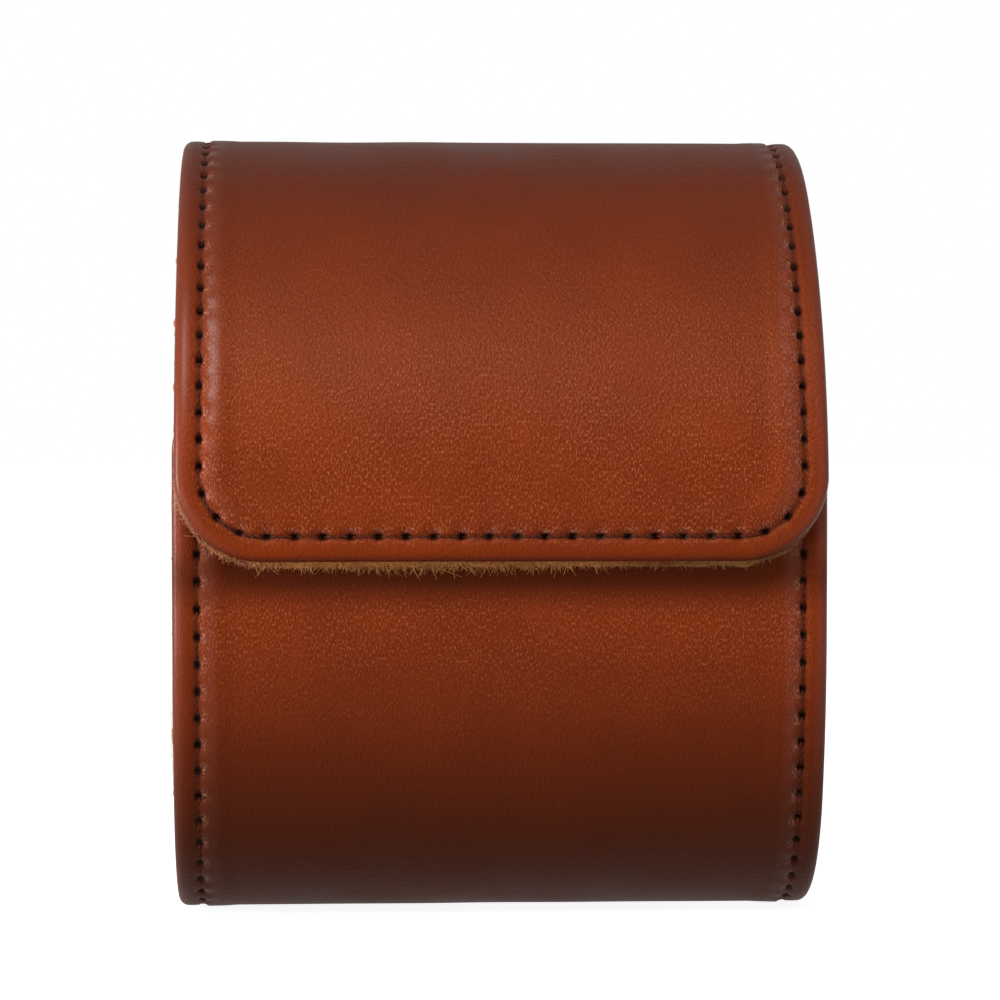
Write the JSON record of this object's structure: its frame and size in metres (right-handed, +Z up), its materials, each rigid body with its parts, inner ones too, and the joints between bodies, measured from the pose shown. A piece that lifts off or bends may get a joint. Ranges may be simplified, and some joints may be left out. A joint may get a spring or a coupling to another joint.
{
  "type": "watch travel case",
  "caption": "Upright wrap-style leather travel case for a wrist watch, open at the ends, with a hinged magnetic flap, suede lining and a removable oval cushion.",
  "frame": {"origin": "middle of the whole case's width and depth, on the surface that its flat sole rests on", "axes": "+X to the right seen from the front, +Y from the front panel to the back, +Z up to the crown of the flap"},
  "size_m": [0.0804, 0.07, 0.094],
  "materials": {
    "outer_leather": "smooth burnished cognac leather with a fine grain",
    "suede_lining": "golden tan suede, napped",
    "stitching_thread": "waxed dark brown thread",
    "felt": "thin grey felt",
    "stiffener_board": "pressed grey-brown board",
    "magnet_plating": "nickel plated",
    "cushion_cloth": "cream microsuede",
    "foam": "soft open-cell foam"
  },
  "bodies": {
    "shell": {"shell_leather": "outer_leather", "hinge_leather": "outer_leather", "shell_thread": "stitching_thread", "hinge_thread": "stitching_thread", "shell_padding": "felt", "shell_board": "stiffener_board", "shell_lining": "suede_lining", "hinge_lining": "suede_lining", "shell_magnet_left": "magnet_plating", "shell_magnet_right": "magnet_plating"},
    "flap": {"flap_leather": "outer_leather", "flap_thread": "stitching_thread", "flap_padding": "felt", "flap_board": "stiffener_board", "flap_lining": "suede_lining", "flap_magnet_left": "magnet_plating", "flap_magnet_right": "magnet_plating"},
    "cushion": {"cushion_cover": "cushion_cloth", "cushion_end_left": "cushion_cloth", "cushion_end_right": "cushion_cloth", "cushion_foam": "foam"}
  },
  "joints": [
    {"name": "flap_hinge", "type": "hinge", "parent": "shell", "child": "flap", "pos_m": [0, 0.02666, 0.0838], "axis": [-1, 0, 0], "range_deg": [0, 180], "deforming": ["hinge_leather", "hinge_lining", "hinge_thread"]},
    {"name": "cushion_slide", "type": "slide", "parent": "shell", "child": "cushion", "axis": [1, 0, 0], "range_m": [-0.09, 0.09]}
  ]
}
